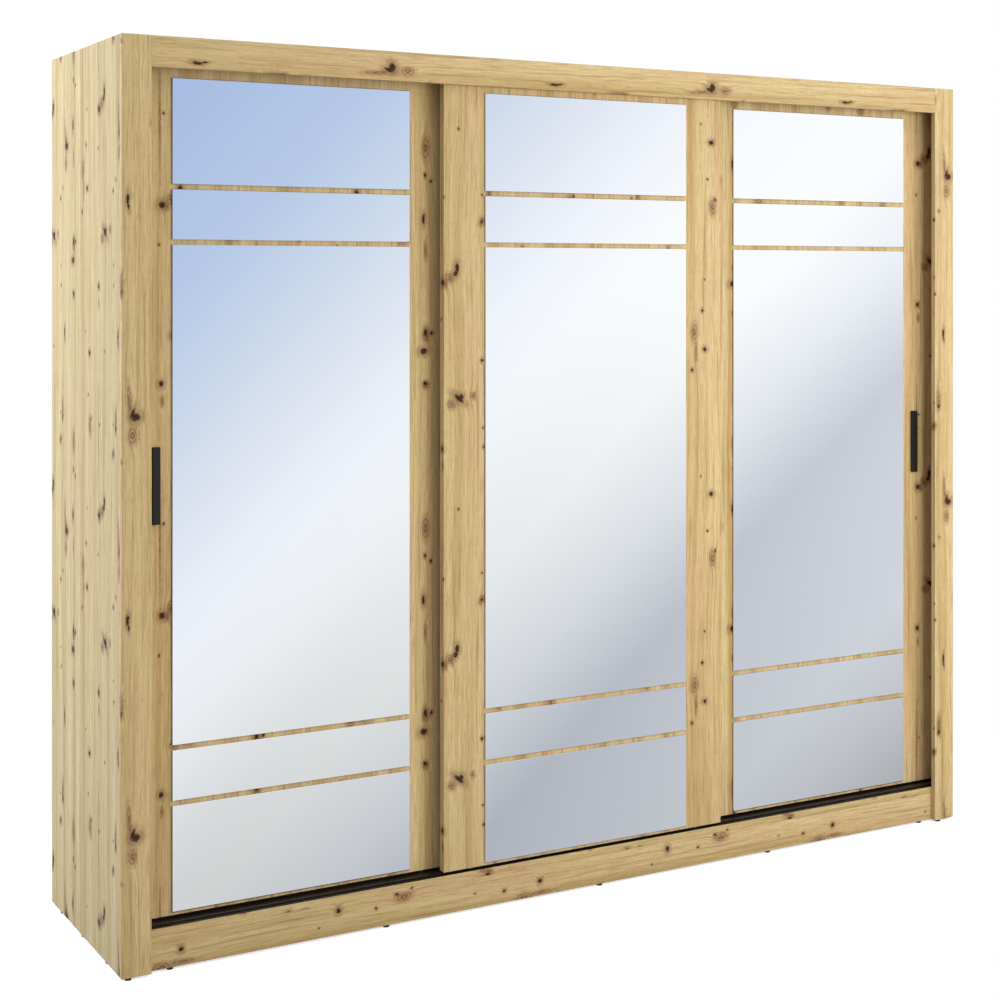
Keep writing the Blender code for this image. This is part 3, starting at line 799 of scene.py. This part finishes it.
def buildFloor():
    bpy.ops.mesh.primitive_plane_add(size=1)
    floor = bpy.context.object
    floor.name = "studioFloor"
    sizeX = cadHigh.x - cadLow.x + 2 * paleFloor["margin"]
    sizeY = cadHigh.y - cadLow.y + 2 * paleFloor["margin"]
    for vertex in floor.data.vertices:
        vertex.co = Vector((vertex.co.x * sizeX, vertex.co.y * sizeY, -paleFloor["drop"]))
    made, tree, shader = newMaterial("paleFloor")
    where = addNode(tree, "ShaderNodeSeparateXYZ")
    feed(tree, where.inputs[0], objectVector(tree))
    outX = doMath(tree, "SUBTRACT", doMath(tree, "ABSOLUTE", where.outputs[0]), cadHigh.x)
    outY = doMath(tree, "SUBTRACT", doMath(tree, "ABSOLUTE", where.outputs[1]), cadHigh.y)
    away = addNode(tree, "ShaderNodeCombineXYZ")
    feed(tree, away.inputs[0], doMath(tree, "MAXIMUM", outX, 0.0))
    feed(tree, away.inputs[1], doMath(tree, "MAXIMUM", outY, 0.0))
    solid = fade(tree, doVector(tree, "LENGTH", away.outputs[0]), 0.0, paleFloor["fade"], 1.0, 0.0)
    paths = addNode(tree, "ShaderNodeLightPath")
    direct = paths.outputs["Is Camera Ray"]
    feed(tree, shader.inputs["Base Color"], blend(tree, direct, paleFloor["bounce"], paleFloor["seen"]))
    shader.inputs["Roughness"].default_value = paleFloor["roughness"]
    shader.inputs["Emission Color"].default_value = (1, 1, 1, 1)
    feed(tree, shader.inputs["Emission Strength"], doMath(tree, "MULTIPLY", direct, paleFloor["glow"]))
    notMirrored = doMath(tree, "SUBTRACT", 1.0, paths.outputs["Is Glossy Ray"])
    feed(tree, shader.inputs["Alpha"], doMath(tree, "MULTIPLY", solid, notMirrored))
    floor.data.materials.append(made)


softStudio = {
    "slant": (0.936, 0.539, -1.0),   # the mirrored room changes along this direction
    "slantLow": -0.7,
    "slantHigh": 0.6,
    "lightFront": "FFFDF4",
    "lightRear": "CFE2FF",
    "rearFrom": (-0.74, 0.52, 0.42),
    "rearStrength": 0.75,
    "room": [              # a cool patch, a white wall and a grey corner
        (0.00, "F2F6F7"), (0.14, "DEE6F0"), (0.22, "B0C2E3"), (0.299, "AABDE2"), (0.385, "B8CBE8"),
        (0.435, "CCD9EC"), (0.485, "E1E6F2"), (0.531, "F1F4FC"), (0.574, "FAFCFF"), (0.638, "FDFFFF"),
        (0.690, "EDF1F8"), (0.738, "D1D5DF"), (0.772, "DADEE8"), (0.828, "E6EBF3"), (0.857, "DFE2E9"),
        (0.890, "CDCFD5"), (0.912, "B9BABF"), (1.00, "AFB0B4"),
    ],
    "elsewhere": [(0.0, "D9DCE0"), (0.45, "F4F6F9"), (1.0, "FFFFFF")],  # from the floor up
}


def buildWorld():
    world = bpy.data.worlds.new("softStudio")
    scene.world = world
    world.use_nodes = True
    tree = world.node_tree
    tree.nodes.clear()
    look = addNode(tree, "ShaderNodeTexCoord").outputs["Generated"]
    parts = addNode(tree, "ShaderNodeSeparateXYZ")
    feed(tree, parts.inputs[0], look)
    toRight, height = parts.outputs[0], parts.outputs[2]

    # what the mirrors show: the room on a slant, darker towards the floor
    slant = doVector(tree, "DOT_PRODUCT", look, softStudio["slant"])
    span = softStudio["slantHigh"] - softStudio["slantLow"]
    alongSlant = doMath(tree, "MULTIPLY_ADD", slant, 1 / span, -softStudio["slantLow"] / span)
    room = ramp(tree, alongSlant, softStudio["room"])
    dim = doMath(tree, "MULTIPLY_ADD", doMath(tree, "MINIMUM", height, 0.0), 1.1, 1.0)
    dim = doMath(tree, "MAXIMUM", dim, 0.55)
    lower = fade(tree, slant, -0.05, 0.12)
    shade = blend(tree, lower, (1, 1, 1, 1), dim)
    room = blend(tree, 1.0, room, shade, "MULTIPLY")
    elsewhere = ramp(tree, fade(tree, height, -0.5, 0.6), softStudio["elsewhere"])
    room = blend(tree, fade(tree, toRight, 0.04, 0.24), elsewhere, room)

    # what lights the object: soft white, weaker from the left front, cooler from the left rear
    dome = fade(tree, height, -0.7, 0.9, 0.50, 1.04)
    dome = doMath(tree, "MULTIPLY", dome, fade(tree, toRight, -0.7, 0.8, 0.50, 1.05))
    rear = fade(tree, doVector(tree, "DOT_PRODUCT", look, softStudio["rearFrom"]), 0.25, 0.85)
    dome = doMath(tree, "MULTIPLY_ADD", rear, softStudio["rearStrength"], dome)
    tone = blend(tree, rear, paint(softStudio["lightFront"]), paint(softStudio["lightRear"]))
    paths = addNode(tree, "ShaderNodeLightPath")
    lightDome = addNode(tree, "ShaderNodeBackground")
    feed(tree, lightDome.inputs["Color"], tone)
    feed(tree, lightDome.inputs["Strength"], dome)
    seen = addNode(tree, "ShaderNodeBackground")
    seen.inputs["Color"].default_value = (1, 1, 1, 1)
    mirrored = addNode(tree, "ShaderNodeBackground")
    feed(tree, mirrored.inputs["Color"], room)
    first = addNode(tree, "ShaderNodeMixShader")
    feed(tree, first.inputs[0], paths.outputs["Is Glossy Ray"])
    feed(tree, first.inputs[1], lightDome.outputs[0])
    feed(tree, first.inputs[2], mirrored.outputs[0])
    last = addNode(tree, "ShaderNodeMixShader")
    feed(tree, last.inputs[0], paths.outputs["Is Camera Ray"])
    feed(tree, last.inputs[1], first.outputs[0])
    feed(tree, last.inputs[2], seen.outputs[0])
    out = addNode(tree, "ShaderNodeOutputWorld")
    feed(tree, out.inputs["Surface"], last.outputs[0])


softBoxes = {  # place, what it points at, width and height, power, colour
    "rightSoft": ((1.4, -3.1, 1.5), (1.0, -0.3, 1.0), (2.6, 2.2), 72.0, (0.96, 0.98, 1.0)),
    "leftSoft": ((-3.6, 2.2, 2.3), (-1.25, 0.1, 2.2), (2.0, 1.6), 128.0, (0.80, 0.90, 1.0)),
}


def buildLight(name, place, aimAt, size, power, colour):
    data = bpy.data.lights.new(name, "AREA")
    data.shape = "RECTANGLE"
    data.size, data.size_y = size
    data.energy = power
    data.color = colour
    lamp = bpy.data.objects.new(name, data)
    scene.collection.objects.link(lamp)
    lamp.location = place
    lamp.rotation_euler = (Vector(aimAt) - lamp.location).to_track_quat("-Z", "Y").to_euler()
    lamp.visible_glossy = False


frontCamera = {
    "place": (-2.4777, -4.3601, 1.602),
    "turn": -29.943,       # degrees from looking straight at the doors
    "lens": 65.52,
    "sensor": 36.0,
    "shift": (-0.0458, -0.2231),
    "clip": (0.05, 60.0),
}


def buildCamera():
    data = bpy.data.cameras.new("frontCamera")
    data.lens, data.sensor_width = frontCamera["lens"], frontCamera["sensor"]
    data.shift_x, data.shift_y = frontCamera["shift"]
    data.clip_start, data.clip_end = frontCamera["clip"]
    camera = bpy.data.objects.new("frontCamera", data)
    scene.collection.objects.link(camera)
    camera.location = frontCamera["place"]
    camera.rotation_euler = (math.radians(90), 0, math.radians(frontCamera["turn"]))
    scene.camera = camera


buildFloor()
buildWorld()
for name, settings in softBoxes.items():
    buildLight(name, *settings)
buildCamera()
scene.view_settings.view_transform = "Standard"
print("studio ready")
